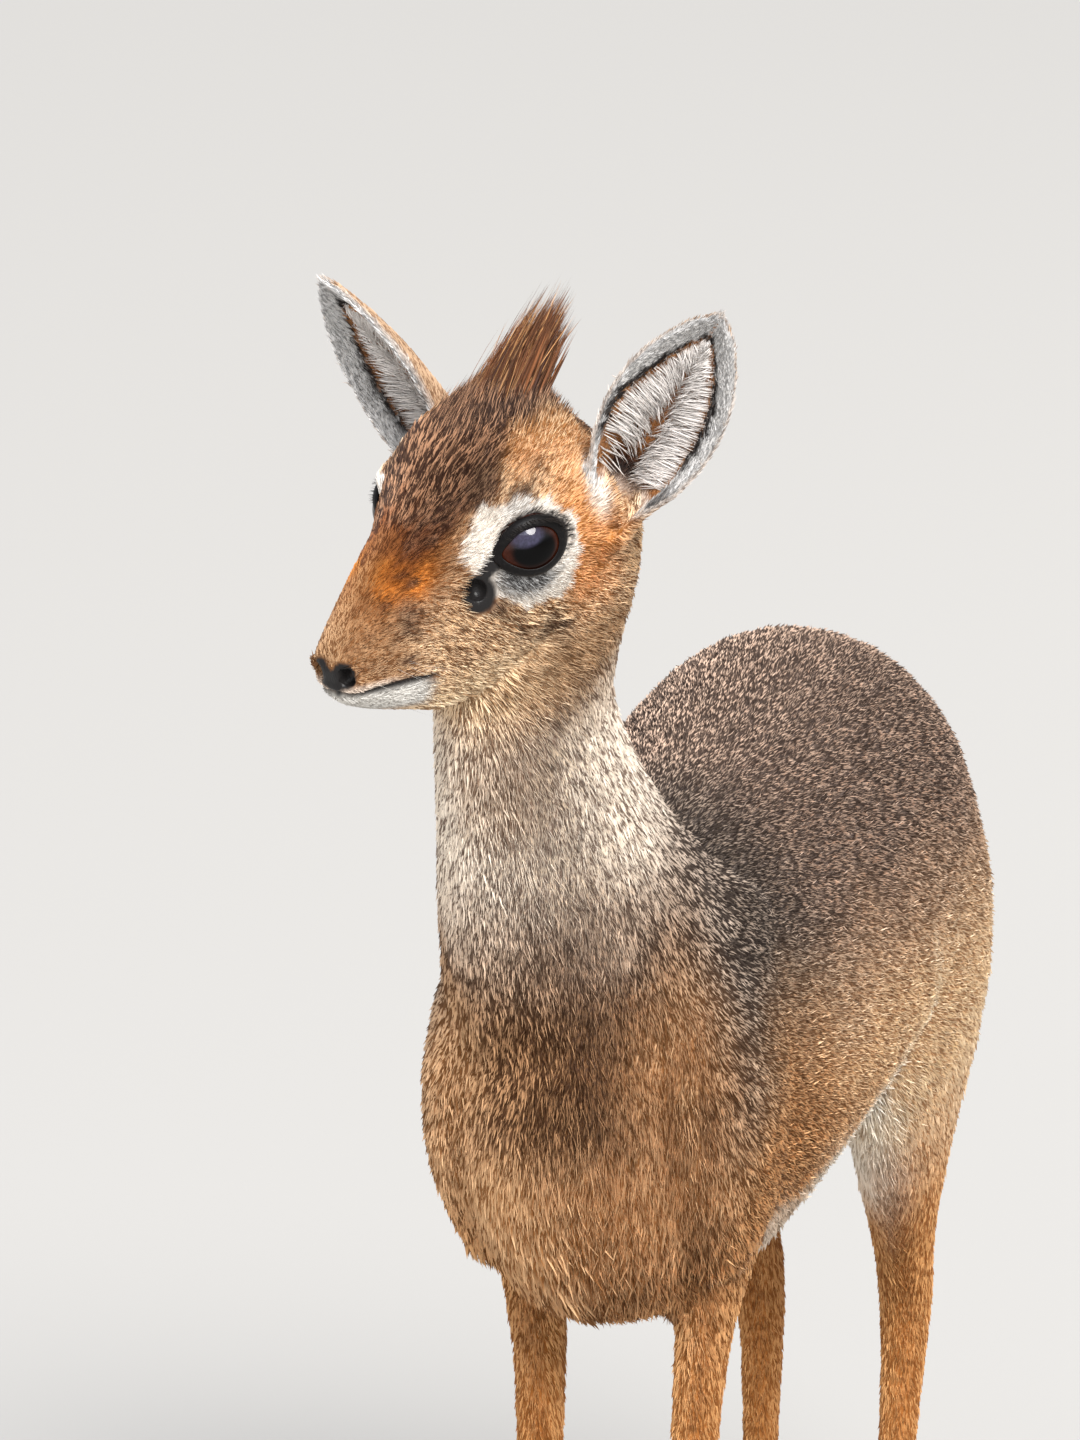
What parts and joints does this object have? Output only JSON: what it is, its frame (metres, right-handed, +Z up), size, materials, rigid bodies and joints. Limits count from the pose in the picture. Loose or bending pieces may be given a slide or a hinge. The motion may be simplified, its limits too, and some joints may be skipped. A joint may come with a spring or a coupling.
{
  "type": "dik dik",
  "caption": "Life-size hornless dik dik standing alert on slim cloven legs, head turned to its right, long leaf-shaped ears spread and the forelock raised.",
  "frame": {"origin": "Centre of the bounding box's bottom, on the ground between the four feet.", "axes": "+Z up. The body points to -Y, so the tail is at +Y, and the animal's left side is at +X. The head is turned 30 degrees to the animal's right."},
  "size_m": [0.1424, 0.458, 0.5573],
  "materials": {
    "grizzled_coat": "short grizzled fur, dark hairs with cream bands",
    "tawny_coat": "short rust and tan fur with dark flecks, white round the eyes and lips",
    "leg_coat": "very short tan fur",
    "ear_coat": "brown behind, long white hair inside the cup",
    "crest_coat": "long stiff dark brown and rust hair",
    "eye": "wet, near black brown",
    "hoof_horn": "dark smooth horn"
  },
  "bodies": {
    "root": {"crest": "crest_coat", "ear_left": "ear_coat", "ear_right": "ear_coat", "eye_left": "eye", "eye_right": "eye", "forearm_left": "leg_coat", "forearm_right": "leg_coat", "forecannon_left": "leg_coat", "forecannon_right": "leg_coat", "gaskin_left": "leg_coat", "gaskin_right": "leg_coat", "head": "tawny_coat", "hindcannon_left": "leg_coat", "hindcannon_right": "leg_coat", "hoof_fore_left_inner": "hoof_horn", "hoof_fore_left_outer": "hoof_horn", "hoof_fore_right_inner": "hoof_horn", "hoof_fore_right_outer": "hoof_horn", "hoof_hind_left_inner": "hoof_horn", "hoof_hind_left_outer": "hoof_horn", "hoof_hind_right_inner": "hoof_horn", "hoof_hind_right_outer": "hoof_horn", "neck": "grizzled_coat", "tail": "grizzled_coat", "torso": "grizzled_coat"}
  },
  "joints": []
}
